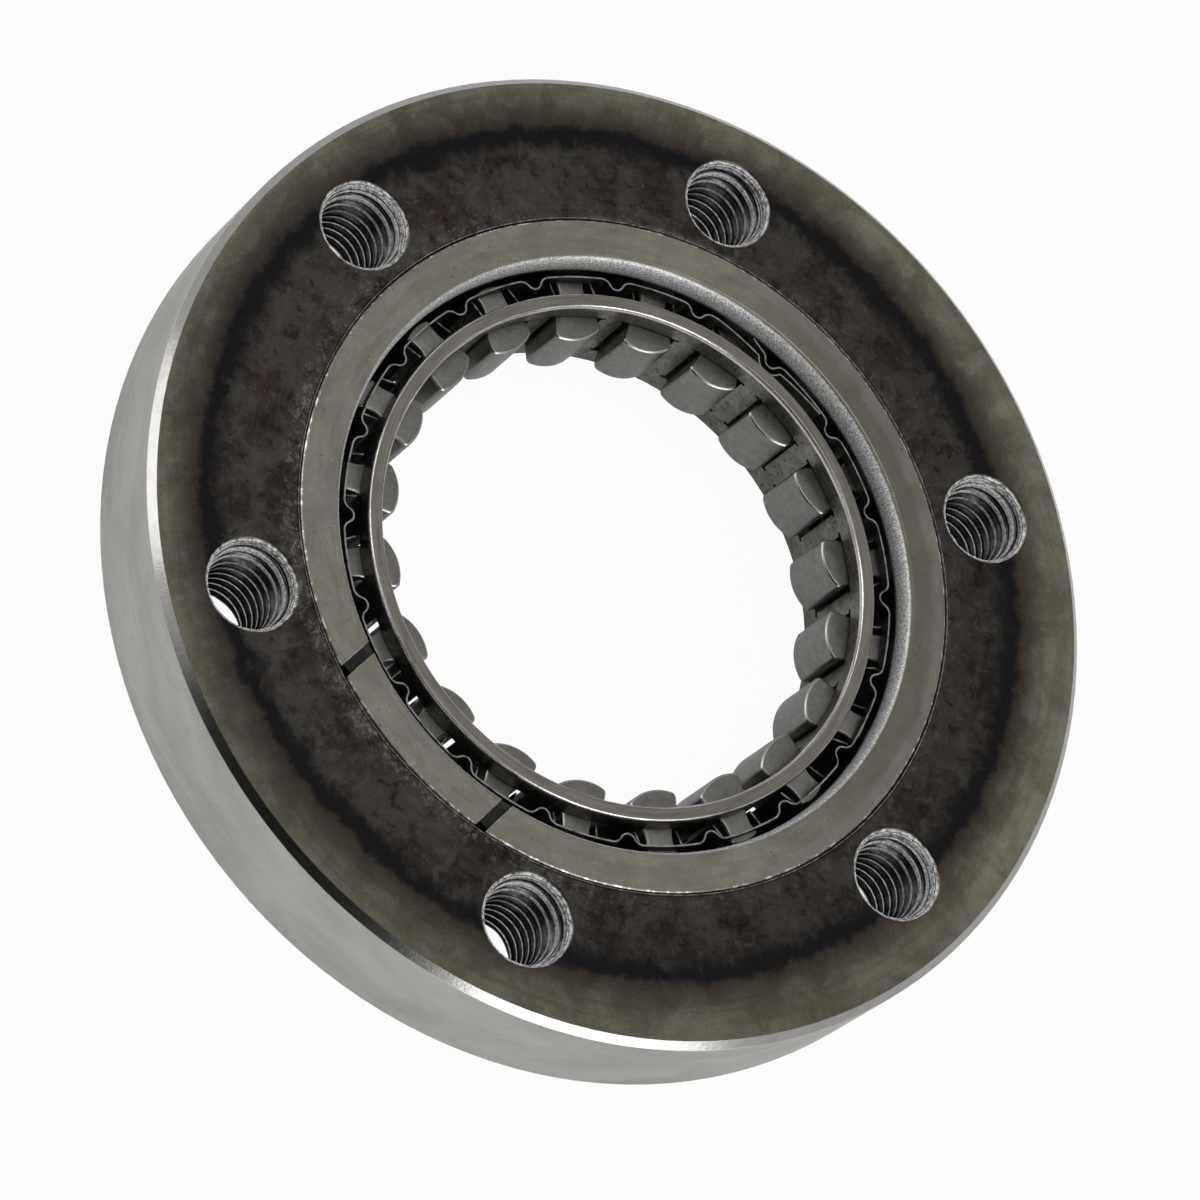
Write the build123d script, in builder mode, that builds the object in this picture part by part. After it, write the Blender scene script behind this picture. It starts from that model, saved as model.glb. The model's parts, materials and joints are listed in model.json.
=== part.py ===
from build123d import *
from math import acos, cos, degrees, radians, sin, sqrt, tan
import os

# A sprag clutch for an engine's electric starter, lying on its back face.
# The clutch axis is Z, the back face is at Z = 0 and one bolt hole lies on +X.
# All sizes are in millimetres and all angles in degrees.

os.makedirs("parts", exist_ok=True)

# The hub that runs in the clutch, and the standard space that the sprags fill around it
hub_diameter = 42.0
sprag_space = 6.39

# Housing: a thick ring, tapped all round, with a seat for the race and a lip behind it
housing_diameter = 90.5
housing_thickness = 12.3
housing_edge_chamfer = 0.7
lip_cage_clearance = 0.8
lip_thickness = 0.9
bolt_count = 6
bolt_hole_diameter = 8.0
bolt_inner_wall = 1.18
countersink_diameter = 8.7
countersink_angle = 90.0

# Race: the hardened ring that the sprags grip, pressed into the housing
race_wall = 4.25
lead_in_width = 0.77
lead_in_depth = 1.7
rim_groove_width = 0.3
rim_groove_depth = 0.55
face_edge_break = 0.1

# Two parallel slots across the front face of the race, either side of one radius
slot_width = 1.0
slot_depth = 0.92
slot_offset = 8.82
slot_direction = -28.0
slot_pocket_length = 1.23
slot_pocket_depth = 1.84

# Cage: the ring of windows that keeps the sprags apart
sprag_count = 20
first_sprag_angle = 7.0
cage_hub_clearance = 2.28
cage_wall = 1.38
cage_front_recess = 0.8
cage_back_recess = 0.3
cage_edge_width = 0.27
cage_edge_depth = 0.5
window_side_clearance = 0.27
window_end_clearance = 0.12
window_corner_relief = 0.3

# Ribbon spring: a thin waved strip between the cage and the race, its two ends lapped by one pitch
spring_race_clearance = 0.74
spring_thickness = 0.15
spring_width = 9.28
spring_lip_clearance = 0.33
wave_angle_from_sprag = 9.6
wave_cage_clearance = 0.92
wave_bottom_radius = 0.69
wave_shoulder_radius = 0.92
lap_sprag_number = 9
lap_inset = 0.65
lap_free_end_lift = 0.42
lap_outer_end_angle = 5.6
lap_inner_end_angle = 14.0
lap_run_in_angle = 13.5

# Fingers: two tabs of the strip bent in beside every sprag
finger_leading_gap = 0.46
finger_trailing_gap = 0.38
finger_lean = 15.0
finger_length_clearance = 0.15
finger_tip_clearance = 0.19

# Sprags: one dumbbell section, its two cams struck from centres that are set apart
sprag_preload = 0.02
sprag_length = 6.52
outer_cam_radius = 3.07
inner_cam_radius = 4.3
inner_cam_offset = 0.61
race_running_gap = 0.05
sprag_lobe_width = 4.68
sprag_neck_leading = 1.34
sprag_neck_trailing = 1.3
sprag_head_leading = 1.65
sprag_head_trailing = 1.42
lobe_taper = 0.15
lobe_corner_radius = 0.54
head_corner_radius = 0.27
sprag_end_chamfer = 0.17

# How far a cutting shape stands out of the piece that it cuts
cut_overrun = 1.0

# The rings follow each other outwards from the hub
hub_radius = hub_diameter / 2
cage_bore_radius = hub_radius + cage_hub_clearance
cage_outer_radius = cage_bore_radius + cage_wall
race_bore_radius = hub_radius + sprag_space
spring_radius = race_bore_radius - spring_race_clearance - spring_thickness / 2
wave_tip_radius = cage_outer_radius + wave_cage_clearance + spring_thickness / 2
lip_bore_radius = cage_outer_radius + lip_cage_clearance
seat_radius = race_bore_radius + race_wall
bolt_hole_radius = bolt_hole_diameter / 2
bolt_circle_radius = seat_radius + bolt_inner_wall + bolt_hole_radius
housing_radius = housing_diameter / 2

cage_front = housing_thickness - cage_front_recess
cage_middle = (cage_front + cage_back_recess) / 2
window_width = sprag_lobe_width + 2 * window_side_clearance
window_length = sprag_length + 2 * window_end_clearance
pitch_angle = 360 / sprag_count


def polar(radius, angle):
    """A point in the plane of the clutch, from its radius and angle."""
    return (radius * cos(radians(angle)), radius * sin(radians(angle)))


def beside(along, across, angle):
    """A point along a radius of the clutch and across it, from the angle of that radius."""
    along_part = polar(along, angle)
    across_part = polar(across, angle + 90)
    return (along_part[0] + across_part[0], along_part[1] + across_part[1])


# Housing
with BuildPart() as housing:
    with BuildSketch(Plane.XZ):
        with BuildLine():
            Polyline(
                (lip_bore_radius, 0),
                (housing_radius, 0),
                (housing_radius, housing_thickness),
                (seat_radius, housing_thickness),
                (seat_radius, lip_thickness),
                (lip_bore_radius, lip_thickness),
                close=True,
            )
        make_face()
    revolve(axis=Axis.Z)
    rims = housing.edges().filter_by(GeomType.CIRCLE).sort_by(SortBy.RADIUS)
    chamfer(rims[-2:], housing_edge_chamfer)
    front_rims = housing.edges().filter_by(GeomType.CIRCLE).group_by(Axis.Z)[-1]
    chamfer(front_rims.sort_by(SortBy.RADIUS)[0], face_edge_break)
    with Locations((0, 0, housing_thickness)):
        with PolarLocations(bolt_circle_radius, bolt_count):
            CounterSinkHole(
                bolt_hole_radius,
                countersink_diameter / 2,
                counter_sink_angle=countersink_angle,
            )
    with Locations(Plane.XY.rotated((180, 0, 0))):
        with PolarLocations(bolt_circle_radius, bolt_count):
            CounterSinkHole(
                bolt_hole_radius,
                countersink_diameter / 2,
                counter_sink_angle=countersink_angle,
            )

housing.part.label = "housing"
export_step(housing.part, "parts/housing.step")


# Outer race
rim_radius = seat_radius - rim_groove_width
rim_floor = housing_thickness - rim_groove_depth
slot_reach = sqrt(seat_radius**2 - slot_offset**2)
slot_start = sqrt(race_bore_radius**2 - slot_offset**2) - cut_overrun

with BuildPart() as outer_race:
    with BuildSketch(Plane.XZ):
        with BuildLine():
            Polyline(
                (race_bore_radius, housing_thickness - lead_in_depth),
                (race_bore_radius, lip_thickness),
                (seat_radius, lip_thickness),
                (seat_radius, rim_floor),
                (rim_radius, rim_floor),
                (rim_radius, housing_thickness - face_edge_break),
                (rim_radius - face_edge_break, housing_thickness),
                (race_bore_radius + lead_in_width, housing_thickness),
            )
            EllipticalCenterArc(
                (race_bore_radius + lead_in_width, housing_thickness - lead_in_depth),
                lead_in_width,
                lead_in_depth,
                start_angle=90,
                arc_size=90,
            )
        make_face()
    revolve(axis=Axis.Z)
    slot_plane = Plane.XY.offset(housing_thickness).rotated((0, 0, slot_direction))
    with BuildSketch(slot_plane):
        slot_span = slot_reach - slot_start + cut_overrun
        with Locations((slot_start + slot_span / 2, slot_offset), (slot_start + slot_span / 2, -slot_offset)):
            Rectangle(slot_span, slot_width)
    extrude(amount=-slot_depth, mode=Mode.SUBTRACT)
    with BuildSketch(slot_plane):
        pocket_span = slot_pocket_length + cut_overrun
        pocket_middle = slot_reach - slot_pocket_length + pocket_span / 2
        with Locations((pocket_middle, slot_offset), (pocket_middle, -slot_offset)):
            Rectangle(pocket_span, slot_width)
    extrude(amount=-slot_pocket_depth, mode=Mode.SUBTRACT)

outer_race.part.label = "outer_race"
export_step(outer_race.part, "parts/outer_race.step")


# Inner cage
with BuildPart() as inner_cage:
    with BuildSketch(Plane.XZ):
        with BuildLine():
            Polyline(
                (cage_bore_radius, cage_front - cage_edge_depth),
                (cage_bore_radius, cage_back_recess),
                (cage_outer_radius, cage_back_recess),
                (cage_outer_radius, cage_front - cage_edge_depth),
            )
            EllipticalCenterArc(
                (cage_outer_radius - cage_edge_width, cage_front - cage_edge_depth),
                cage_edge_width,
                cage_edge_depth,
                start_angle=0,
                arc_size=90,
            )
            Line(
                (cage_outer_radius - cage_edge_width, cage_front),
                (cage_bore_radius + cage_edge_width, cage_front),
            )
            EllipticalCenterArc(
                (cage_bore_radius + cage_edge_width, cage_front - cage_edge_depth),
                cage_edge_width,
                cage_edge_depth,
                start_angle=90,
                arc_size=90,
            )
        make_face()
    revolve(axis=Axis.Z)
    window_end = (window_length - window_corner_relief) / 2
    wall_middle = cage_bore_radius + cage_wall / 2
    with Locations((0, 0, cage_middle)):
        with PolarLocations(wall_middle, sprag_count, start_angle=first_sprag_angle):
            Box(2 * cage_wall, window_width, window_length, mode=Mode.SUBTRACT)
    with Locations((0, 0, cage_middle + window_end), (0, 0, cage_middle - window_end)):
        with PolarLocations(wall_middle, sprag_count, start_angle=first_sprag_angle):
            relief_span = window_width + 2 * window_corner_relief
            Box(2 * cage_wall, relief_span, window_corner_relief, mode=Mode.SUBTRACT)

inner_cage.part.label = "inner_cage"
export_step(inner_cage.part, "parts/inner_cage.step")


# Ribbon spring
lap_wave_angle = first_sprag_angle + (lap_sprag_number - 1) * pitch_angle + wave_angle_from_sprag
shoulder_centre_radius = spring_radius - wave_shoulder_radius
bottom_centre_radius = wave_tip_radius + wave_bottom_radius
wave_half_angle = degrees(
    acos(
        (
            shoulder_centre_radius**2
            + bottom_centre_radius**2
            - (wave_shoulder_radius + wave_bottom_radius) ** 2
        )
        / (2 * shoulder_centre_radius * bottom_centre_radius)
    )
)


def draw_wave(angle, shift):
    """One inward wave of the strip: a shoulder, the bottom and the other shoulder, all tangent.

    The shift moves the line outwards, as an exact offset of the middle of the strip."""
    bottom_centre = Vector(*polar(bottom_centre_radius, angle))
    bottom_tip = Vector(*polar(wave_tip_radius + shift, angle))
    joints = []
    for side in (-1, 1):
        shoulder_angle = angle + side * wave_half_angle
        shoulder_centre = Vector(*polar(shoulder_centre_radius, shoulder_angle))
        outward = Vector(*polar(1, shoulder_angle))
        toward_bottom = (bottom_centre - shoulder_centre).normalized()
        halfway = (outward + toward_bottom).normalized()
        reach = wave_shoulder_radius + shift
        joints.append(shoulder_centre + toward_bottom * reach)
        ThreePointArc(
            shoulder_centre + outward * reach,
            shoulder_centre + halfway * reach,
            shoulder_centre + toward_bottom * reach,
        )
    ThreePointArc(joints[0], bottom_tip, joints[1])


def strip_radius(angle):
    """The radius of the strip at an angle: a full turn, less the stretch that runs in under it."""
    lap_start = lap_wave_angle + wave_half_angle
    lap_end = lap_wave_angle + lap_run_in_angle
    if lap_start < angle < lap_end:
        return spring_radius - lap_inset * (lap_end - angle) / (lap_end - lap_start)
    return spring_radius


def draw_run(start_radius, start_angle, end_radius, end_angle):
    """A plain stretch of the strip, between two angles and from one radius to another."""
    ThreePointArc(
        polar(start_radius, start_angle),
        polar((start_radius + end_radius) / 2, (start_angle + end_angle) / 2),
        polar(end_radius, end_angle),
    )


# Going back from the lap wave, each next wave is one pitch less, and the last lies under the first
last_wave_angle = lap_wave_angle - 360
inner_end_angle = last_wave_angle - lap_inner_end_angle
run_in_start = last_wave_angle + lap_run_in_angle
free_end_angle = lap_wave_angle + lap_outer_end_angle
free_end_radius = spring_radius + lap_free_end_lift
inner_level = spring_radius - lap_inset
inner_end_radius = spring_radius - 1.5 * spring_thickness
opening_leading = sprag_head_leading + finger_leading_gap
opening_trailing = sprag_head_trailing + finger_trailing_gap
opening_width = opening_leading + opening_trailing
opening_shift = (opening_leading - opening_trailing) / 2
opening_length = sprag_length + 2 * finger_length_clearance

with BuildPart() as ribbon_spring:
    with BuildSketch(Plane.XY.offset(lip_thickness + spring_lip_clearance)):
        with BuildLine():
            for shift in (spring_thickness / 2, -spring_thickness / 2):
                draw_run(
                    free_end_radius + shift,
                    free_end_angle,
                    spring_radius + shift,
                    lap_wave_angle + wave_half_angle,
                )
                for number in range(sprag_count):
                    wave_angle = lap_wave_angle - number * pitch_angle
                    draw_wave(wave_angle, shift)
                    run_end = wave_angle - pitch_angle + wave_half_angle
                    if number == sprag_count - 1:
                        run_end = run_in_start
                    draw_run(
                        spring_radius + shift,
                        wave_angle - wave_half_angle,
                        spring_radius + shift,
                        run_end,
                    )
                draw_run(
                    spring_radius + shift,
                    run_in_start,
                    inner_level + shift,
                    last_wave_angle + wave_half_angle,
                )
                draw_wave(last_wave_angle, shift - lap_inset)
                draw_run(
                    inner_level + shift,
                    last_wave_angle - wave_half_angle,
                    inner_end_radius + shift,
                    inner_end_angle,
                )
            Line(
                polar(free_end_radius + spring_thickness / 2, free_end_angle),
                polar(free_end_radius - spring_thickness / 2, free_end_angle),
            )
            Line(
                polar(inner_end_radius + spring_thickness / 2, inner_end_angle),
                polar(inner_end_radius - spring_thickness / 2, inner_end_angle),
            )
        make_face()
    extrude(amount=spring_width)

    # The openings for the sprag heads go through both layers of the lap
    opening_reach = 4 * lap_inset
    with Locations((0, 0, cage_middle)):
        for number in range(sprag_count):
            with Locations(Location((0, 0, 0), (0, 0, first_sprag_angle + number * pitch_angle))):
                with Locations((spring_radius - lap_inset / 2, opening_shift, 0)):
                    Box(opening_reach, opening_width, opening_length, mode=Mode.SUBTRACT)

    # The fingers start in the strip, stop short of the cage and lean with the sprags
    with BuildSketch(Plane.XY.offset(cage_middle - sprag_length / 2)):
        for number in range(sprag_count):
            angle = first_sprag_angle + number * pitch_angle
            for edge, outward in ((opening_leading, 1), (-opening_trailing, -1)):
                root_across = edge + outward * spring_thickness / 2
                root_along = strip_radius(angle + degrees(root_across / spring_radius))
                depth = root_along - cage_outer_radius - finger_tip_clearance
                tip_across = root_across - depth * tan(radians(finger_lean))
                half = spring_thickness / (2 * cos(radians(finger_lean)))
                with BuildLine():
                    Polyline(
                        beside(root_along, root_across - half, angle),
                        beside(root_along, root_across + half, angle),
                        beside(root_along - depth, tip_across + half, angle),
                        beside(root_along - depth, tip_across - half, angle),
                        close=True,
                    )
                make_face()
    extrude(amount=sprag_length)

ribbon_spring.part.label = "ribbon_spring"
export_step(ribbon_spring.part, "parts/ribbon_spring.step")


# Sprags
pivot_radius = race_bore_radius - race_running_gap - outer_cam_radius
tip_radius = hub_radius - sprag_preload
inner_centre = sqrt((tip_radius + inner_cam_radius) ** 2 - inner_cam_offset**2) - pivot_radius
lobe_half = sprag_lobe_width / 2
lobe_shoulder = cage_bore_radius - pivot_radius
neck_level = (cage_outer_radius + spring_radius) / 2 - pivot_radius


def inner_cam(across):
    """The distance of the inner cam from the pivot, at a distance across the sprag."""
    return inner_centre - sqrt(inner_cam_radius**2 - (across - inner_cam_offset) ** 2)


def outer_cam(across):
    """The distance of the outer cam from the pivot, at a distance across the sprag."""
    return sqrt(outer_cam_radius**2 - across**2)


for number in range(sprag_count):
    sprag_angle = first_sprag_angle + number * pitch_angle
    sprag_plane = Plane(
        origin=(*polar(pivot_radius, sprag_angle), cage_middle - sprag_length / 2),
        x_dir=(*polar(1, sprag_angle), 0),
        z_dir=(0, 0, 1),
    )
    with BuildPart() as sprag:
        with BuildSketch(sprag_plane) as section:
            with BuildLine():
                head_start = (outer_cam(sprag_head_trailing), -sprag_head_trailing)
                head_end = (outer_cam(sprag_head_leading), sprag_head_leading)
                lobe_start = (inner_cam(lobe_half), lobe_half)
                lobe_end = (inner_cam(-lobe_half), -lobe_half)
                shoulder_start = (lobe_shoulder, lobe_half - lobe_taper)
                shoulder_end = (lobe_shoulder, lobe_taper - lobe_half)
                ThreePointArc(head_start, (outer_cam_radius, 0), head_end)
                ThreePointArc(head_end, (neck_level, sprag_neck_leading), shoulder_start)
                Line(shoulder_start, lobe_start)
                ThreePointArc(lobe_start, (inner_cam(0), 0), lobe_end)
                Line(lobe_end, shoulder_end)
                ThreePointArc(shoulder_end, (neck_level, -sprag_neck_trailing), head_start)
            make_face()
            corners = section.vertices().sort_by(Axis.X)
            fillet(corners[:2], lobe_corner_radius)
            fillet(section.vertices().sort_by(Axis.X)[-2:], head_corner_radius)
        extrude(amount=sprag_length)
        end_faces = sprag.faces().sort_by(Axis.Z)
        chamfer(end_faces[0].edges() + end_faces[-1].edges(), sprag_end_chamfer)

    name = f"sprag_{number + 1:02d}"
    sprag.part.label = name
    export_step(sprag.part, f"parts/{name}.step")
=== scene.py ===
"""The looks of a sprag clutch.

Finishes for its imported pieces, rounded sprags, cut threads, a rolled seat edge and a plain studio.
"""

import json
from math import cos, pi, radians, sin

import bpy
from mathutils import Matrix, Vector


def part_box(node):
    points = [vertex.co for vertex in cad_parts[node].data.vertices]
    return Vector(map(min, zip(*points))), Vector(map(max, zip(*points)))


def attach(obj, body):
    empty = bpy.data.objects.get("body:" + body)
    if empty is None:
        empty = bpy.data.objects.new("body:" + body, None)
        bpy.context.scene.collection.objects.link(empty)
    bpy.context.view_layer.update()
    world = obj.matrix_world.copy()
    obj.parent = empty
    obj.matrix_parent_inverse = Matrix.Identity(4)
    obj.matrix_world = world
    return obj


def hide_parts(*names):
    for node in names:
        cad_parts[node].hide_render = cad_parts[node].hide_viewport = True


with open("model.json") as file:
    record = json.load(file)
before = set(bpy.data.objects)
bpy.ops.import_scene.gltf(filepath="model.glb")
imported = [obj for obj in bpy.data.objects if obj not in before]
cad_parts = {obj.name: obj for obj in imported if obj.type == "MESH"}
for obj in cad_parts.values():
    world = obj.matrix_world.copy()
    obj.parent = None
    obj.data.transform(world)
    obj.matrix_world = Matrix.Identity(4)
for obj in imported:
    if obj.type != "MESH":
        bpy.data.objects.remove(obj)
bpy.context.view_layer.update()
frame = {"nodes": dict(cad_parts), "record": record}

bl_info = {
    "name": "Sprag clutch looks",
    "version": (1, 0, 0),
    "blender": (4, 5, 0),
    "location": "3D View > Sidebar > Clutch",
    "description": "Finishes the packed sprag clutch and lights it in a plain studio",
    "category": "Object",
}

MM = 0.001
SPRAGS = [name for name in sorted(frame["nodes"]) if name.startswith("sprag_")]
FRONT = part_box("housing")[1].z
RIM_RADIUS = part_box("housing")[1].x
SEAT_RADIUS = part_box("outer_race")[1].x
CAGE_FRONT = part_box("inner_cage")[1].z
CAGE_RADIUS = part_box("inner_cage")[1].x
BOLTS = frame["record"]["mounts"][0]["dims"]
BOLT_COUNT = BOLTS["count"]
BOLT_CIRCLE_RADIUS = BOLTS["pcd_mm"] / 2 * MM
HOLE_RADIUS = BOLTS["hole_r_mm"] * MM


class Value:
    """A socket of a shader, wrapped so that maths on it reads as an expression."""

    def __init__(self, finish, socket):
        self.finish = finish
        self.socket = socket

    def maths(self, operation, *others):
        sockets = dict(enumerate((self, *others)))
        return self.finish.node("ShaderNodeMath", {"operation": operation}, sockets)

    def __add__(self, other):
        return self.maths("ADD", other)

    def __sub__(self, other):
        return self.maths("SUBTRACT", other)

    def __rsub__(self, other):
        return self.finish.node("ShaderNodeMath", {"operation": "SUBTRACT"}, {0: other, 1: self})

    def __mul__(self, other):
        return self.maths("MULTIPLY", other)

    def __truediv__(self, other):
        return self.maths("DIVIDE", other)

    def __pow__(self, other):
        return self.maths("POWER", other)

    def __abs__(self):
        return self.maths("ABSOLUTE")

    __radd__ = __add__
    __rmul__ = __mul__

    def rise(self, low, high):
        """0 below the first value, 1 above the second and a smooth step between them."""
        sockets = {"Value": self, "From Min": low, "From Max": high}
        return self.finish.node("ShaderNodeMapRange", {"interpolation_type": "SMOOTHSTEP"}, sockets)

    def fall(self, low, high):
        """1 below the first value, 0 above the second and a smooth step between them."""
        return 1 - self.rise(low, high)


class Room:
    """A shader tree, empty at first."""

    def __init__(self, owner):
        owner.use_nodes = True
        self.tree = owner.node_tree
        self.tree.nodes.clear()

    def node(self, kind, settings, sockets, output=0):
        """Adds a node, applies its settings, fills its sockets and gives one of its outputs."""
        made = self.tree.nodes.new(kind)
        for name, setting in settings.items():
            setattr(made, name, setting)
        for name, given in sockets.items():
            if isinstance(given, Value):
                self.tree.links.new(given.socket, made.inputs[name])
            elif isinstance(given, tuple) and len(given) == 3 and made.inputs[name].type == "RGBA":
                made.inputs[name].default_value = (*given, 1)
            else:
                made.inputs[name].default_value = given
        if output is not None:
            return Value(self, made.outputs[output])

    def part(self, vector, axis):
        """One coordinate of a vector."""
        return self.node("ShaderNodeSeparateXYZ", {}, {0: vector}, axis)


class Finish(Room):
    """One procedural material: its nodes, and the coordinates in millimetres that its patterns read."""

    def __init__(self, name):
        self.material = bpy.data.materials.new(name)
        super().__init__(self.material)
        metres = self.node("ShaderNodeTexCoord", {}, {}, "Object")
        self.place = self.node("ShaderNodeVectorMath", {"operation": "SCALE"}, {0: metres, "Scale": 1 / MM})
        self.x = self.part(self.place, "X")
        self.y = self.part(self.place, "Y")
        self.z = self.part(self.place, "Z")
        self.radius = (self.x * self.x + self.y * self.y) ** 0.5
        self.angle = self.y.maths("ARCTAN2", self.x)

    def facing_up(self):
        """1 where the surface faces the front, -1 where it faces the back and 0 on the sides."""
        return self.part(self.node("ShaderNodeTexCoord", {}, {}, "Normal"), "Z")

    def towards(self, degrees):
        """1 on the side of the clutch that lies at an angle round its axis and -1 opposite."""
        return (self.angle - radians(degrees)).maths("COSINE")

    def bolt_hole_distance(self):
        """The distance from the axis of the nearest bolt hole."""
        sector = radians(360 / BOLT_COUNT)
        folded = self.angle.maths("WRAP", sector / 2, -sector / 2)
        along = self.radius * folded.maths("COSINE") - BOLT_CIRCLE_RADIUS / MM
        across = self.radius * folded.maths("SINE")
        return (along * along + across * across) ** 0.5

    def noise(self, size, detail, roughness, place=None, distortion=0.0):
        """A cloudy pattern between 0 and 1, whose spots are about so many millimetres across."""
        sockets = {
            "Vector": place or self.place,
            "Scale": 1 / size,
            "Detail": detail,
            "Roughness": roughness,
            "Distortion": distortion,
        }
        return self.node("ShaderNodeTexNoise", {}, sockets, "Fac")

    def around(self, size_along, size_out, radius):
        """A place for patterns that follow the ring, with their size along it at a radius and out from it."""
        x = self.x / self.radius * (radius / size_along)
        y = self.y / self.radius * (radius / size_along)
        z = self.radius / size_out + self.z / size_out
        return self.node("ShaderNodeCombineXYZ", {}, {0: x, 1: y, 2: z})

    def mix(self, mask, first, second):
        """The first colour where the mask is 0 and the second where it is 1."""
        sockets = {"Factor": mask, 6: first, 7: second}
        return self.node("ShaderNodeMix", {"data_type": "RGBA"}, sockets, 2)

    def coats(self, colour, *coats):
        """A colour under coats, each of them a mask and a colour, with the last on top."""
        for mask, coat in coats:
            colour = self.mix(mask, colour, coat)
        return colour

    def tint(self, colour, amount):
        """A colour made lighter or darker by a number."""
        return self.node("ShaderNodeVectorMath", {"operation": "SCALE"}, {0: colour, "Scale": amount})

    def bump(self, height, strength):
        """Relief too fine to model, from its height in millimetres."""
        return self.node("ShaderNodeBump", {}, {"Height": height, "Distance": MM, "Strength": strength})

    def metal(self, colour, roughness, normal, metallic=1.0):
        """Closes the material as bare metal, or as metal so rough that it scatters the light."""
        sockets = {"Base Color": colour, "Metallic": metallic, "Roughness": roughness, "Normal": normal}
        surface = self.node("ShaderNodeBsdfPrincipled", {}, sockets)
        self.node("ShaderNodeOutputMaterial", {}, {"Surface": surface}, None)
        return self.material


def cover(piece, material):
    """Gives a piece one material all over."""
    if not piece.material_slots:
        piece.data.materials.append(material)
    for slot in piece.material_slots:
        slot.material = material


def heated_face(steel, colours, clouds, blots, mottles):
    """Brown oxide by the race, a black heat ring that reaches inwards in tongues, and olive steel outside."""
    seat = SEAT_RADIUS / MM
    bolt_circle = BOLT_CIRCLE_RADIUS / MM
    ring_radius = 39.25
    ring_shift = 1.0
    tongues = steel.noise(1.0, 5, 0.66, steel.around(2.6, 4.0, bolt_circle), 0.8)
    bands = steel.noise(1.0, 3, 0.6, steel.around(14.0, 0.9, bolt_circle), 0.5)
    lean = steel.towards(-100)
    past_ring = steel.radius - (ring_radius + ring_shift * lean) + 0.8 * (clouds - 0.5)

    rubbed = steel.radius.fall(seat + 0.3, seat + 2.4) * mottles.rise(0.50, 0.60) * blots.rise(0.40, 0.52)
    rubbed = rubbed * (0.2 + 0.5 * steel.towards(-60).maths("MAXIMUM", 0.0))
    oxide = steel.coats(
        steel.mix(clouds.rise(0.38, 0.58), (0.034, 0.027, 0.024), tuple(colours.oxide)),
        (bands.rise(0.45, 0.65) * 0.5, (0.076, 0.052, 0.045)),
        (blots.rise(0.52, 0.64) * 0.55, (0.088, 0.087, 0.079)),
        (blots.fall(0.34, 0.46) * 0.7, (0.014, 0.013, 0.012)),
        (mottles.rise(0.60, 0.70) * 0.5, (0.12, 0.12, 0.108)),
        (rubbed, (0.22, 0.215, 0.195)),
    )
    oxide = steel.tint(oxide, 0.92 + 0.12 * lean)

    olive = steel.coats(
        steel.mix(clouds.rise(0.35, 0.65), (0.141, 0.130, 0.097), tuple(colours.olive)),
        (bands.rise(0.45, 0.65) * 0.45, (0.118, 0.107, 0.079)),
        (blots.rise(0.56, 0.70) * 0.45, (0.25, 0.24, 0.20)),
        (mottles.rise(0.66, 0.72) * 0.5, (0.34, 0.33, 0.29)),
    )
    # Darker towards 5 degrees round the axis.
    darker_side = steel.towards(5).rise(0.35, 0.75)
    olive = steel.tint(olive, 1.08 - 0.04 * lean - 0.28 * darker_side)

    reach_in = past_ring + 5.0 * (tongues - 0.5) + 2.0 * (blots - 0.5)
    soot = reach_in.rise(-2.3, -0.5) * (0.60 + 0.9 * tongues).maths("MINIMUM", 1.0)
    fade_out = past_ring + 2.2 * (tongues - 0.5) + 1.2 * (blots - 0.5)
    return steel.coats(
        oxide,
        (soot, tuple(colours.soot)),
        (fade_out.rise(0.1, 1.1), (0.055, 0.044, 0.035)),
        (fade_out.rise(0.6, 5.0 + 0.4 * lean), olive),
    )


def turned_side(steel, colours, clouds, mottles):
    """The outer side: smudges, dark specks and fine bright scratches round the axis."""
    rim = RIM_RADIUS / MM
    smudges = steel.noise(1.0, 5, 0.55, steel.around(11.0, 5.0, rim), 0.5)
    scratches = steel.noise(1.0, 4, 0.7, steel.around(7.0, 0.14, rim))
    return steel.coats(
        steel.mix(smudges.rise(0.30, 0.70), (0.39, 0.385, 0.36), tuple(colours.side)),
        (clouds.rise(0.5, 0.75) * 0.25, (0.36, 0.35, 0.31)),
        (mottles.fall(0.32, 0.40) * 0.45, (0.24, 0.235, 0.22)),
        (scratches.rise(0.54, 0.64) * 0.4, (0.62, 0.615, 0.59)),
    )


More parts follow.
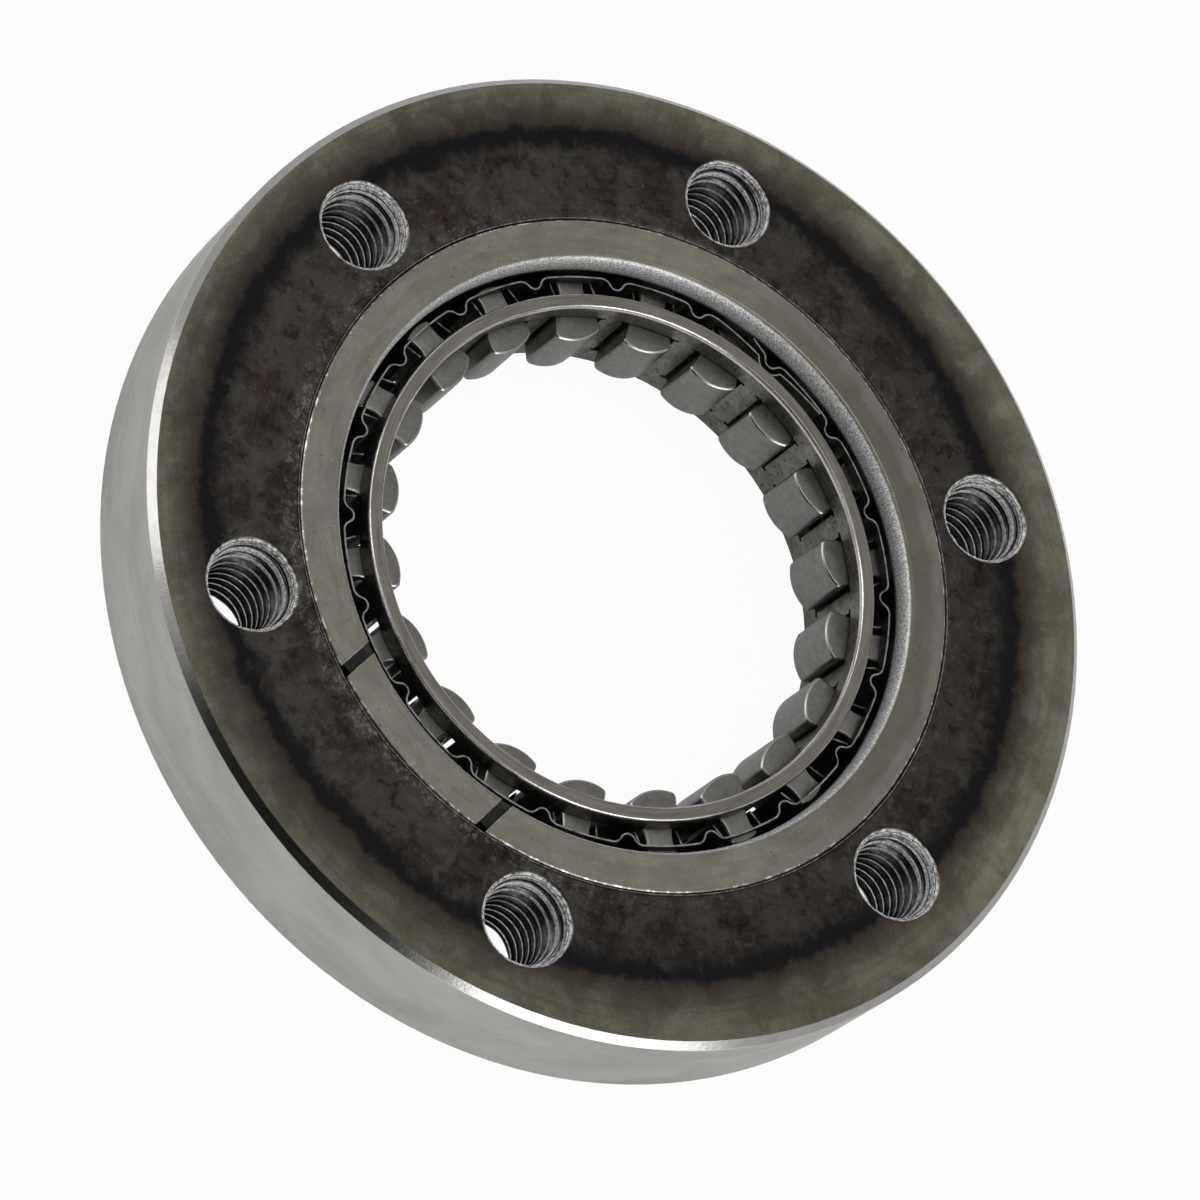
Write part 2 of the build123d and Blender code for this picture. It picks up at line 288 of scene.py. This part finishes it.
def housing_finish(colours):
    """Turned steel: heat-tinted faces, a brighter chamfer and side, battered hole mouths, and painted shade
    in the seat groove and the hole bores.
    """
    steel = Finish("housing_steel")
    radius, z = steel.radius, steel.z
    front, rim, seat = FRONT / MM, RIM_RADIUS / MM, SEAT_RADIUS / MM
    bore = HOLE_RADIUS / MM
    chamfer = 0.74
    lip_top = 1.0
    mouth_radius = 4.12
    clouds = steel.noise(4.2, 4, 0.6, distortion=0.5)
    blots = steel.noise(1.5, 5, 0.68, distortion=0.4)
    grain = steel.noise(0.30, 3, 0.65)
    mottles = steel.noise(0.5, 5, 0.75, distortion=0.4)
    hole_distance = steel.bolt_hole_distance()

    face = steel.tint(heated_face(steel, colours, clouds, blots, mottles), 0.70 + 0.6 * grain)
    side = turned_side(steel, colours, clouds, mottles)
    edge = steel.mix(blots, (0.30, 0.295, 0.28), (0.44, 0.435, 0.42))
    cone = steel.mix(mottles.rise(0.38, 0.60), (0.18, 0.18, 0.175), (0.92, 0.92, 0.91))
    rolled = steel.mix(mottles.rise(0.4, 0.6), (0.12, 0.12, 0.11), (0.50, 0.49, 0.46))

    on_side = radius.rise(rim - 0.06, rim - 0.02)
    below_face = z.fall(front - 0.04, front - 0.015)
    on_edge = below_face * radius.rise(rim - chamfer - 0.02, rim - chamfer + 0.02)
    mouth = hole_distance + 0.3 * (blots - 0.5)
    in_mouth = below_face * mouth.fall(mouth_radius, mouth_radius + 0.18)
    # Painted shade: the bolt holes' bores, between the thread ridges, are painted dark.
    hole_bore_shade = in_mouth * hole_distance.fall(bore + 0.02, bore + 0.08)
    on_seat_edge = below_face * z.rise(front - 0.5, front - 0.4) * radius.fall(seat - 0.10, seat - 0.06)
    below_edge = z.fall(front - 0.45, front - 0.25) * z.rise(lip_top - 0.05, lip_top)
    # Painted shade: the seat wall down in the groove round the race is painted near black.
    seat_groove_shade = below_edge * radius.fall(seat + 0.14, seat + 0.2)
    colour = steel.coats(
        face,
        (in_mouth, cone),
        (on_seat_edge, rolled),
        (seat_groove_shade, (0.02, 0.02, 0.02)),
        (on_edge, edge),
        (on_side, side),
        (hole_bore_shade, (0.05, 0.05, 0.05)),
    )

    glossy_edge = on_edge * (1 - on_side)
    roughness = 0.44 - 0.06 * clouds - 0.21 * glossy_edge - 0.08 * in_mouth + 0.04 * on_side
    relief = grain * 0.008 + blots * 0.016 + in_mouth * (mottles - 0.5) * 0.18
    battered = in_mouth.maths("MAXIMUM", on_seat_edge)
    return steel.metal(colour, roughness, steel.bump(relief, 0.8), 1 - 0.7 * battered)


def race_finish(looks, colours):
    """Ground steel with a blasted lead-in, nicks along its edges with a painted highlight, and painted shade
    in its slots, its bore and the groove round it.
    """
    steel = Finish("race_steel")
    radius, z = steel.radius, steel.z
    front, seat = FRONT / MM, SEAT_RADIUS / MM
    rim = seat - looks.rim_groove / MM
    lead_edge = seat - looks.race_wall / MM + looks.lead_in_width / MM
    clouds = steel.noise(3.2, 5, 0.62, distortion=0.5)
    smears = steel.noise(1.0, 3, 0.6, steel.around(7.0, 0.9, seat), 0.4)
    grain = steel.noise(0.17, 3, 0.6)
    pits = steel.noise(0.34, 2, 0.5)
    nicks = steel.noise(0.8, 3, 0.7)

    # Darker towards 110 degrees round the axis, most near the lead-in.
    darker_side = steel.towards(110).rise(0.3, 0.9)
    inward = (radius + 1.2 * (clouds - 0.5)).fall(seat - 1.9, seat - 1.1)
    face = steel.coats(
        steel.mix(clouds.rise(0.3, 0.7), (0.225, 0.215, 0.178), tuple(colours.race)),
        (smears.rise(0.45, 0.7) * 0.5, (0.172, 0.165, 0.137)),
        (darker_side * (0.25 + 0.35 * inward), (0.115, 0.104, 0.078)),
        (pits.fall(0.24, 0.32) * 0.8, (0.05, 0.048, 0.044)),
        (pits.rise(0.73, 0.79) * 0.5, (0.50, 0.49, 0.46)),
    )
    face = steel.tint(face, 0.85 + 0.3 * grain)
    blasted = steel.mix(grain.rise(0.35, 0.65), (0.42, 0.42, 0.41), (0.98, 0.98, 0.96))
    # Painted shade: the bore below the lead-in is painted dark.
    bore = steel.mix(clouds, (0.06, 0.06, 0.055), (0.12, 0.12, 0.11))

    turn = radians(looks.slot_direction)
    ahead = (steel.x * cos(turn) + steel.y * sin(turn)).rise(0, 1)
    across = abs(abs(steel.y * cos(turn) - steel.x * sin(turn)) - looks.slot_offset / MM)
    half_slot = looks.slot_width / 2 / MM

    below_face = z.fall(front - 0.04, front - 0.01)
    inside = radius.fall(lead_edge - 0.08, lead_edge)
    on_lead_in = z.fall(front - 0.25, front - 0.05) * inside * z.rise(front - 2.5, front - 1.8)
    race_bore_shade = inside * z.fall(front - 2.4, front - 1.8)
    # Painted shade: the slots are painted dark, darker still towards their outer ends.
    slot_shade = below_face * ahead * across.fall(half_slot + 0.01, half_slot + 0.03)
    deep_slot_shade = slot_shade * radius.rise(seat - 1.4, seat - 0.9)
    # Painted shade: the groove round the race is painted black.
    race_groove_shade = z.fall(front - 0.40, front - 0.18) * radius.rise(rim - 0.01, rim + 0.02)
    # Painted highlight along the slot edges, broken up as nicks.
    slot_nicks_and_highlight = (1 - below_face) * ahead * across.fall(half_slot + 0.04, half_slot + 0.10)
    # Painted highlight along the race's rim edge, broken up as nicks.
    rim_nicks_and_highlight = radius.rise(rim - 0.19, rim - 0.13) * radius.fall(rim + 0.01, rim + 0.03)
    colour = steel.coats(
        face,
        (on_lead_in, blasted),
        (race_bore_shade, bore),
        (slot_nicks_and_highlight * nicks.rise(0.45, 0.6) * 0.7, (0.55, 0.55, 0.53)),
        (rim_nicks_and_highlight * nicks.rise(0.48, 0.66), (0.85, 0.85, 0.83)),
        (slot_shade, (0.034, 0.033, 0.031)),
        (deep_slot_shade, (0.01, 0.01, 0.01)),
        (race_groove_shade, (0.01, 0.01, 0.01)),
    )
    roughness = 0.42 - 0.06 * clouds + 0.12 * on_lead_in
    relief = grain * (0.006 + 0.030 * on_lead_in) + clouds * 0.015 + pits * 0.006
    return steel.metal(colour, roughness, steel.bump(relief, 0.8), 1 - 0.35 * on_lead_in)


def cage_finish(colours):
    """Satin stamped steel with grime, a scuffed top and polished rims that also carry a painted highlight."""
    steel = Finish("cage_steel")
    front = CAGE_FRONT / MM
    clouds = steel.noise(1.6, 4, 0.65)
    grain = steel.noise(0.27, 2, 0.6)
    scuffs = steel.noise(1.0, 3, 0.65, steel.around(5.0, 0.3, CAGE_RADIUS / MM))
    grime = steel.noise(0.5, 5, 0.72, distortion=0.4)
    # The rims are polished steel, lightened further with a painted highlight.
    rim = steel.mix(scuffs.rise(0.35, 0.6), (0.40, 0.39, 0.365), (0.78, 0.77, 0.74))
    top = steel.mix(scuffs.rise(0.35, 0.65), (0.185, 0.172, 0.145), (0.255, 0.240, 0.208))
    on_top = steel.z.rise(front - 0.03, front - 0.01)
    on_rim = steel.z.rise(front - 0.48, front - 0.38) * (1 - on_top)
    colour = steel.coats(
        steel.mix(clouds.rise(0.3, 0.7), (0.13, 0.125, 0.112), tuple(colours.cage)),
        (grime.fall(0.36, 0.50) * 0.7, (0.05, 0.047, 0.042)),
        (grime.rise(0.58, 0.66) * 0.5, (0.36, 0.35, 0.32)),
        (on_rim, rim),
        (on_top, top),
    )
    roughness = 0.36 - 0.12 * on_rim + 0.06 * clouds
    return steel.metal(colour, roughness, steel.bump(grain * 0.007 + clouds * 0.015, 0.7))


def spring_finish(colours):
    """Dark strip with bright sheared edges, which are duller on the fingers."""
    steel = Finish("spring_steel")
    front = CAGE_FRONT / MM
    clouds = steel.noise(0.9, 3, 0.6)
    sides = steel.mix(clouds.rise(0.35, 0.6), (0.05, 0.05, 0.048), (0.13, 0.128, 0.122))
    edges = steel.mix(clouds.rise(0.3, 0.6), (0.13, 0.13, 0.127), tuple(colours.spring_edge))
    on_fingers = steel.z.fall(front - 1.6, front - 1.4)
    edges = steel.mix(on_fingers * clouds.fall(0.45, 0.55), edges, (0.10, 0.10, 0.10))
    colour = steel.mix(steel.facing_up().rise(0.5, 0.8), sides, edges)
    return steel.metal(colour, 0.42 + 0.14 * clouds, steel.bump(clouds * 0.008, 0.5))


def sprag_finish(colours):
    """Satin hardened steel with tumbled edges that carry a painted highlight, and a painted shadow of the
    cage ring on the inner parts of its end faces.
    """
    steel = Finish("sprag_steel")
    cage = CAGE_RADIUS / MM
    clouds = steel.noise(1.2, 4, 0.6)
    grain = steel.noise(0.19, 2, 0.6)
    grit = steel.noise(0.45, 5, 0.7, distortion=0.3)
    upright = abs(steel.facing_up())
    cams = steel.mix(clouds, (0.17, 0.168, 0.158), tuple(colours.sprag))
    # Painted shadow of the cage ring: the end faces are darker inside its radius.
    shaded_inner_ends = steel.mix(clouds, (0.15, 0.146, 0.132), (0.23, 0.224, 0.205))
    outer_ends = steel.mix(clouds, (0.17, 0.168, 0.158), (0.28, 0.276, 0.26))
    ends = steel.mix(steel.radius.rise(cage - 0.3, cage), shaded_inner_ends, outer_ends)
    colour = steel.mix(upright.rise(0.96, 0.995), cams, ends)
    # Painted highlight along the rounded edges.
    rounded = upright.rise(0.12, 0.35) * upright.fall(0.9, 0.985)
    colour = steel.tint(colour, 0.55 + 0.9 * grit)
    colour = steel.mix(rounded, colour, (0.42, 0.415, 0.40))
    roughness = 0.38 - 0.10 * rounded + 0.05 * clouds
    return steel.metal(colour, roughness, steel.bump(grain * 0.006 + clouds * 0.014, 0.8))


def thread_finish(looks, colours):
    """Tapped steel: crests lighter from wear and a painted highlight, grooves darkened with painted shade,
    and a battered band at the mouth.
    """
    steel = Finish("thread_steel")
    hole_distance = steel.bolt_hole_distance()
    depth = FRONT / MM - steel.z
    band_edge = looks.collar_depth / MM
    worn_crest = looks.worn_crest_radius / MM - depth * looks.worn_taper
    crest = worn_crest.maths("MAXIMUM", looks.thread_crest_radius / MM)
    clouds = steel.noise(0.6, 3, 0.6)
    grit = steel.noise(0.30, 5, 0.75, distortion=0.8)
    # Painted shade: the grooves are painted dark; the crests are worn steel, lightened further with a painted
    # highlight.
    grooves = steel.mix(clouds.rise(0.3, 0.7), (0.04, 0.04, 0.04), (0.12, 0.12, 0.118))
    crests = steel.mix(grit.rise(0.40, 0.58), (0.34, 0.34, 0.335), tuple(colours.thread_crest))
    band = steel.mix(grit.rise(0.42, 0.54), (0.14, 0.14, 0.135), tuple(colours.thread_crest))
    on_crest = hole_distance.fall(crest + 0.01, crest + 0.07)
    on_band = depth.fall(band_edge, band_edge + 0.12)
    colour = steel.coats(grooves, (on_crest, crests), (on_band, band))
    battered = (on_crest * depth.fall(3.0, 6.5)).maths("MAXIMUM", on_band)
    relief = clouds * 0.02 + grit * (0.10 * battered)
    return steel.metal(colour, 0.26 + 0.2 * battered, steel.bump(relief, 0.8), 1 - 0.85 * battered)


def length(name, description, millimetres):
    """A length that can be set in the sidebar, with its default in millimetres."""
    default = millimetres * MM
    return bpy.props.FloatProperty(name=name, description=description, default=default, unit="LENGTH")


def tone(name, description, default):
    """A colour that can be set in the sidebar."""
    return bpy.props.FloatVectorProperty(name=name, description=description, default=default, subtype="COLOR")


class ClutchLooks(bpy.types.PropertyGroup):
    thread_pitch: length("Thread pitch", "Distance from one thread crest to the next", 1.25)
    thread_crest_radius: length("Thread crest radius", "Radius of the hole inside the thread crests", 3.33)
    worn_crest_radius: length(
        "Worn crest radius",
        "Radius of the hole inside the worn crests at the front face",
        3.88,
    )
    worn_taper: bpy.props.FloatProperty(
        name="Worn taper",
        description="How fast the worn crests close in to the full thread, as a slope",
        default=0.13,
    )
    collar_radius: length(
        "Collar radius",
        "Radius of the hammered band between the cone and the first thread",
        3.93,
    )
    collar_depth: length(
        "Collar depth",
        "Depth of the lower edge of the hammered band below the front face",
        0.95,
    )
    countersink_radius: length(
        "Countersink radius",
        "Radius of the cones at the two faces, which cut the first and last threads",
        4.35,
    )
    sprag_edge: length("Sprag edge", "Width of the rounding along the edges of a sprag", 0.07)
    race_wall: length("Race wall", "Wall of the race", 4.25)
    lead_in_width: length("Lead-in width", "Width of the rounded lead-in of the race", 0.77)
    rim_groove: length("Rim groove", "Width of the groove between the race and the housing", 0.3)
    seat_edge: length(
        "Seat edge",
        "How far the rolled edge of the housing's seat reaches into the groove round the race",
        0.13,
    )
    slot_offset: length("Slot offset", "Distance of each slot from the radius between them", 8.82)
    slot_width: length("Slot width", "Width of the slots across the race", 1.0)
    slot_direction: bpy.props.FloatProperty(
        name="Slot direction",
        description="Direction of the slots round the clutch, in degrees",
        default=-28.0,
    )


class ClutchColours(bpy.types.PropertyGroup):
    oxide: tone("Oxide", "Lighter brown of the housing's face inside the heat ring", (0.064, 0.059, 0.052))
    soot: tone("Soot", "Black of the heat ring", (0.014, 0.014, 0.015))
    olive: tone("Olive", "Lighter steel of the housing's face outside the heat ring", (0.218, 0.206, 0.162))
    side: tone("Side", "Lighter steel of the housing's outer side", (0.50, 0.495, 0.47))
    race: tone("Race", "Lighter steel of the race's ground face", (0.300, 0.286, 0.243))
    cage: tone("Cage", "Lighter steel of the cage", (0.24, 0.232, 0.208))
    spring_edge: tone("Spring edge", "Lighter steel of the spring's sheared edges", (0.34, 0.34, 0.33))
    sprag: tone("Sprag", "Lighter steel of the sprags' cams", (0.30, 0.297, 0.284))
    thread_crest: tone("Thread crest", "Brightest steel of the worn threads", (0.98, 0.98, 0.97))


class StudioLooks(bpy.types.PropertyGroup):
    world_level: bpy.props.FloatProperty(
        name="World level",
        description="Brightness of the studio round the clutch",
        default=0.62,
    )
    key_level: bpy.props.FloatProperty(
        name="Key level",
        description="Brightness of the key lamp's face",
        default=3.2,
    )
    fill_level: bpy.props.FloatProperty(
        name="Fill level",
        description="Brightness of the fill lamp's face",
        default=2.0,
    )
    overhead_level: bpy.props.FloatProperty(
        name="Overhead level",
        description="Brightness of the small patch of sky right above the clutch",
        default=2.5,
    )
    floor_white: bpy.props.FloatProperty(
        name="Floor white",
        description="Share of plain white in the floor as the camera sees it",
        default=0.96,
        subtype="FACTOR",
    )


class FinishHousing(bpy.types.Operator):
    """Give the housing its turned, heat-tinted steel"""

    bl_idname = "clutch.finish_housing"
    bl_label = "Finish housing"

    def execute(self, context):
        cover(frame["nodes"]["housing"], housing_finish(context.scene.clutch_colours))
        return {"FINISHED"}


class RollSeatEdge(bpy.types.Operator):
    """Narrow the groove round the race with the rolled edge of the housing's seat"""

    bl_idname = "clutch.roll_seat_edge"
    bl_label = "Roll seat edge"

    def execute(self, context):
        reach = context.scene.clutch_looks.seat_edge
        drop = 0.03 * MM
        height = 0.44 * MM
        overlap = 0.02 * MM
        bpy.ops.object.select_all(action="DESELECT")
        bpy.ops.mesh.primitive_cylinder_add(
            vertices=256,
            radius=SEAT_RADIUS - reach,
            depth=height,
            end_fill_type="NOTHING",
            location=(0, 0, FRONT - drop - height / 2),
        )
        bpy.ops.object.transform_apply()
        edge = context.object
        edge.name = "seat_edge"
        wall = edge.modifiers.new("wall", "SOLIDIFY")
        wall.thickness = reach + overlap
        wall.offset = 1
        bpy.ops.object.modifier_apply(modifier=wall.name)
        cover(edge, frame["nodes"]["housing"].active_material)
        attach(edge, "clutch_housing")
        return {"FINISHED"}


class FinishRace(bpy.types.Operator):
    """Give the race its ground face, blasted lead-in and painted shade in its slots"""

    bl_idname = "clutch.finish_race"
    bl_label = "Finish race"

    def execute(self, context):
        scene = context.scene
        cover(frame["nodes"]["outer_race"], race_finish(scene.clutch_looks, scene.clutch_colours))
        return {"FINISHED"}


class FinishCage(bpy.types.Operator):
    """Give the cage its satin steel"""

    bl_idname = "clutch.finish_cage"
    bl_label = "Finish cage"

    def execute(self, context):
        cover(frame["nodes"]["inner_cage"], cage_finish(context.scene.clutch_colours))
        return {"FINISHED"}


class FinishSpring(bpy.types.Operator):
    """Give the ribbon spring its dark strip and bright edges"""

    bl_idname = "clutch.finish_spring"
    bl_label = "Finish spring"

    def execute(self, context):
        cover(frame["nodes"]["ribbon_spring"], spring_finish(context.scene.clutch_colours))
        return {"FINISHED"}


class RoundSprags(bpy.types.Operator):
    """Make every sprag again with rounded, tumbled edges"""

    bl_idname = "clutch.round_sprags"
    bl_label = "Round sprags"

    def tumble(self, context, name, edge_width):
        """A copy of a packed sprag, its facets merged and its edges rounded."""
        mesh = frame["nodes"][name].data.copy()
        piece = bpy.data.objects.new(f"{name}_tumbled", mesh)
        context.collection.objects.link(piece)
        bpy.ops.object.select_all(action="DESELECT")
        context.view_layer.objects.active = piece
        piece.select_set(True)
        bpy.ops.object.mode_set(mode="EDIT")
        bpy.ops.mesh.select_all(action="SELECT")
        bpy.ops.mesh.remove_doubles(threshold=0.001 * MM)
        bpy.ops.mesh.customdata_custom_splitnormals_clear()
        bpy.ops.mesh.dissolve_limited(angle_limit=radians(0.5))
        bpy.ops.object.mode_set(mode="OBJECT")
        bevel = piece.modifiers.new("tumbled", "BEVEL")
        bevel.width = edge_width
        bevel.segments = 3
        bevel.angle_limit = radians(25)
        bpy.ops.object.modifier_apply(modifier=bevel.name)
        bpy.ops.object.shade_smooth_by_angle(angle=radians(35))
        return piece

    def execute(self, context):
        steel = sprag_finish(context.scene.clutch_colours)
        for name in SPRAGS:
            piece = self.tumble(context, name, context.scene.clutch_looks.sprag_edge)
            cover(piece, steel)
            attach(piece, f"{name}_body")
            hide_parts(name)
        return {"FINISHED"}


class CutThreads(bpy.types.Operator):
    """Cut a thread with a hammered band at its mouth into every bolt hole"""

    bl_idname = "clutch.cut_threads"
    bl_label = "Cut threads"

    steps = 64
    sunk = 0.03 * MM

    def section(self, looks):
        """The closed outline of one ridge: heights and radii, up one flank and down the other."""
        pitch = looks.thread_pitch
        crest = looks.thread_crest_radius
        inset = (HOLE_RADIUS - crest) / 3
        flank = (
            (0.04, HOLE_RADIUS + self.sunk),
            (0.17, HOLE_RADIUS - inset),
            (0.30, crest + inset),
            (0.42, crest),
            (0.46, crest),
        )
        lower = [(share * pitch, radius) for share, radius in flank]
        upper = [(pitch - height, radius) for height, radius in reversed(lower)]
        return lower + upper

    def screw_ridge(self, looks, turns):
        """One thread ridge about the axis: the section screwed up, with its two ends closed."""
        section = self.section(looks)
        bpy.ops.object.select_all(action="DESELECT")
        bpy.ops.mesh.primitive_circle_add(vertices=len(section))
        ridge = bpy.context.object
        for vertex, (height, radius) in zip(ridge.data.vertices, section):
            vertex.co = (radius, 0, height)
        screw = ridge.modifiers.new("thread", "SCREW")
        screw.screw_offset = looks.thread_pitch
        screw.iterations = turns
        screw.steps = self.steps
        screw.render_steps = self.steps
        screw.use_merge_vertices = False
        bpy.ops.object.modifier_apply(modifier=screw.name)
        bpy.ops.object.mode_set(mode="EDIT")
        bpy.ops.mesh.select_all(action="DESELECT")
        bpy.ops.mesh.select_non_manifold()
        bpy.ops.mesh.fill_holes(sides=0)
        bpy.ops.mesh.select_all(action="SELECT")
        bpy.ops.mesh.normals_make_consistent(inside=False)
        bpy.ops.object.mode_set(mode="OBJECT")
        return ridge

    def trim_ridge(self, looks, ridge, turns):
        """Centres the ridge in the hole and trims it to the cones, the band, the wear and a run-out."""
        cone_depth = looks.countersink_radius - HOLE_RADIUS
        run_out_slope = 2
        base = (FRONT - (turns + 1) * looks.thread_pitch) / 2
        for vertex in ridge.data.vertices:
            vertex.co.z = min(max(vertex.co.z + base, cone_depth), FRONT - cone_depth)
            radius = vertex.co.xy.length
            depth = FRONT - vertex.co.z
            cone = looks.countersink_radius - depth
            worn = looks.worn_crest_radius - depth * looks.worn_taper
            collar = looks.collar_radius - max(0, depth - looks.collar_depth)
            run_out = HOLE_RADIUS - run_out_slope * (vertex.co.z - cone_depth)
            cut = min(max(cone, worn, collar, run_out), HOLE_RADIUS + self.sunk)
            if radius < cut:
                vertex.co.x *= cut / radius
                vertex.co.y *= cut / radius

    def add_collar(self, looks, ridge):
        """The hammered band between the cone and the first thread, joined to the ridge."""
        cone_depth = looks.countersink_radius - HOLE_RADIUS
        bpy.ops.object.select_all(action="DESELECT")
        bpy.ops.mesh.primitive_cylinder_add(
            vertices=self.steps,
            radius=looks.collar_radius,
            depth=looks.collar_depth - cone_depth,
            end_fill_type="NOTHING",
            location=(0, 0, FRONT - (looks.collar_depth + cone_depth) / 2),
        )
        collar = bpy.context.object
        wall = collar.modifiers.new("wall", "SOLIDIFY")
        wall.thickness = 0.08 * MM
        wall.offset = 1
        bpy.ops.object.modifier_apply(modifier=wall.name)
        ridge.select_set(True)
        bpy.context.view_layer.objects.active = ridge
        bpy.ops.object.join()

    def execute(self, context):
        looks = context.scene.clutch_looks
        turns = round(FRONT / looks.thread_pitch)
        ridge = self.screw_ridge(looks, turns)
        self.trim_ridge(looks, ridge, turns)
        self.add_collar(looks, ridge)
        steel = thread_finish(looks, context.scene.clutch_colours)
        stagger = 2.3
        for number in range(BOLT_COUNT):
            thread = ridge.copy()
            thread.data = ridge.data.copy()
            thread.name = f"thread_{number + 1}"
            context.collection.objects.link(thread)
            turn = radians(number * 360 / BOLT_COUNT)
            centre = Vector((cos(turn), sin(turn), 0)) * BOLT_CIRCLE_RADIUS
            start = Matrix.Rotation(turn * stagger, 4, "Z")
            thread.data.transform(Matrix.Translation(centre) @ start)
            cover(thread, steel)
            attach(thread, "clutch_housing")
        bpy.data.objects.remove(ridge)
        return {"FINISHED"}


def ray(azimuth, elevation):
    """The direction at an angle round the clutch axis and an angle above the face."""
    level = cos(radians(elevation))
    turn = radians(azimuth)
    return Vector((level * cos(turn), level * sin(turn), sin(radians(elevation))))


class SetStudio(bpy.types.Operator):
    """Set the camera, the lamps, the white floor and the world"""

    bl_idname = "clutch.set_studio"
    bl_label = "Set studio"

    def add_camera(self, context):
        """The photograph's view, aimed at the front face beside the clutch axis."""
        aim = Vector((5.771 * MM, -1.456 * MM, FRONT))
        away = ray(-32.0947, 57.2276)
        roll = radians(-52.4172)
        distance = 522.73 * MM
        shift_left = 0.07 * MM
        upright = (Vector((0, 0, 1)) - away * away.z).normalized()
        up = cos(roll) * upright + sin(roll) * upright.cross(away)
        right = up.cross(away)
        data = bpy.data.cameras.new("camera")
        data.lens = 179.87
        data.sensor_width = 36
        camera = bpy.data.objects.new("camera", data)
        context.collection.objects.link(camera)
        turned = Matrix((right, up, away)).transposed().to_4x4()
        stand = aim + away * distance - right * shift_left
        camera.matrix_world = Matrix.Translation(stand) @ turned
        context.scene.camera = camera

    def add_lamp(self, context, name, direction, width, height, level):
        """A soft rectangular lamp that faces the clutch from a metre away."""
        data = bpy.data.lights.new(name, "AREA")
        data.shape = "RECTANGLE"
        data.size = width
        data.size_y = height
        data.energy = level * pi * width * height
        lamp = bpy.data.objects.new(name, data)
        context.collection.objects.link(lamp)
        lamp.location = direction
        lamp.rotation_mode = "QUATERNION"
        lamp.rotation_quaternion = direction.to_track_quat("Z", "Y")
        lamp.visible_camera = False

    def add_floor(self, context, studio):
        """A wide floor, white to the camera but for a soft shadow, and clear from beneath."""
        drop = 0.02 * MM
        reflected_white = 0.3
        bpy.ops.object.select_all(action="DESELECT")
        bpy.ops.mesh.primitive_plane_add(size=12, location=(0, 0, -drop))
        floor = context.object
        floor.name = "floor"
        paint = Finish("floor_white")
        matte = paint.node("ShaderNodeBsdfDiffuse", {}, {"Color": (0.92, 0.92, 0.92)})
        glow = paint.node("ShaderNodeEmission", {}, {"Color": (1.0, 1.0, 1.0), "Strength": 1.0})
        seen = paint.node("ShaderNodeLightPath", {}, {}, "Is Camera Ray")
        reflected = paint.node("ShaderNodeLightPath", {}, {}, "Is Glossy Ray")
        share = seen * studio.floor_white + reflected * reflected_white
        above = paint.node("ShaderNodeMixShader", {}, {0: share, 1: matte, 2: glow})
        clear = paint.node("ShaderNodeBsdfTransparent", {}, {})
        beneath = paint.node("ShaderNodeNewGeometry", {}, {}, "Backfacing")
        surface = paint.node("ShaderNodeMixShader", {}, {0: beneath, 1: above, 2: clear})
        paint.node("ShaderNodeOutputMaterial", {}, {"Surface": surface}, None)
        cover(floor, paint.material)

    def set_world(self, context, studio):
        """White to the camera; to the clutch a pale room, bright overhead, with a dark patch low in front."""
        world = bpy.data.worlds.new("studio")
        context.scene.world = world
        room = Room(world)
        look = room.node("ShaderNodeTexCoord", {}, {}, "Generated")
        patch = {0: look, 1: tuple(ray(-30, 33))}
        to_patch = room.node("ShaderNodeVectorMath", {"operation": "DOT_PRODUCT"}, patch, "Value")
        up = room.part(look, "Z")
        walls = studio.world_level * (1.15 - 0.3 * up.rise(0.0, 1.0))
        level = walls * (1 - 0.98 * to_patch.rise(0.80, 0.92))
        level = level + studio.overhead_level * up.rise(0.965, 0.985)
        seen = room.node("ShaderNodeLightPath", {}, {}, "Is Camera Ray")
        level = level * (1 - seen) + seen
        background = room.node("ShaderNodeBackground", {}, {"Color": (1.0, 1.0, 1.0), "Strength": level})
        room.node("ShaderNodeOutputWorld", {}, {"Surface": background}, None)

    def execute(self, context):
        studio = context.scene.studio_looks
        context.scene.view_settings.view_transform = "Standard"
        self.add_camera(context)
        self.add_lamp(context, "key", ray(33, 24), 0.70, 0.40, studio.key_level)
        self.add_lamp(context, "fill", ray(-100, 22), 0.60, 0.36, studio.fill_level)
        self.add_floor(context, studio)
        self.set_world(context, studio)
        return {"FINISHED"}


class ClutchPanel(bpy.types.Panel):
    bl_idname = "VIEW3D_PT_clutch"
    bl_label = "Sprag clutch"
    bl_space_type = "VIEW_3D"
    bl_region_type = "UI"
    bl_category = "Clutch"

    def draw(self, context):
        scene = context.scene
        for settings in (scene.clutch_looks, scene.clutch_colours, scene.studio_looks):
            for name in settings.__annotations__:
                self.layout.prop(settings, name)
        for step in STEPS:
            self.layout.operator(step.bl_idname)


STEPS = (
    FinishHousing,
    RollSeatEdge,
    FinishRace,
    FinishCage,
    FinishSpring,
    RoundSprags,
    CutThreads,
    SetStudio,
)
CLASSES = (ClutchLooks, ClutchColours, StudioLooks, *STEPS, ClutchPanel)


def register():
    for one in CLASSES:
        bpy.utils.register_class(one)
    bpy.types.Scene.clutch_looks = bpy.props.PointerProperty(type=ClutchLooks)
    bpy.types.Scene.clutch_colours = bpy.props.PointerProperty(type=ClutchColours)
    bpy.types.Scene.studio_looks = bpy.props.PointerProperty(type=StudioLooks)


def unregister():
    del bpy.types.Scene.studio_looks
    del bpy.types.Scene.clutch_colours
    del bpy.types.Scene.clutch_looks
    for one in reversed(CLASSES):
        bpy.utils.unregister_class(one)


def main():
    register()
    bpy.ops.clutch.finish_housing()
    bpy.ops.clutch.roll_seat_edge()
    bpy.ops.clutch.finish_race()
    bpy.ops.clutch.finish_cage()
    bpy.ops.clutch.finish_spring()
    bpy.ops.clutch.round_sprags()
    bpy.ops.clutch.cut_threads()
    bpy.ops.clutch.set_studio()


if __name__ == "__main__":
    main()
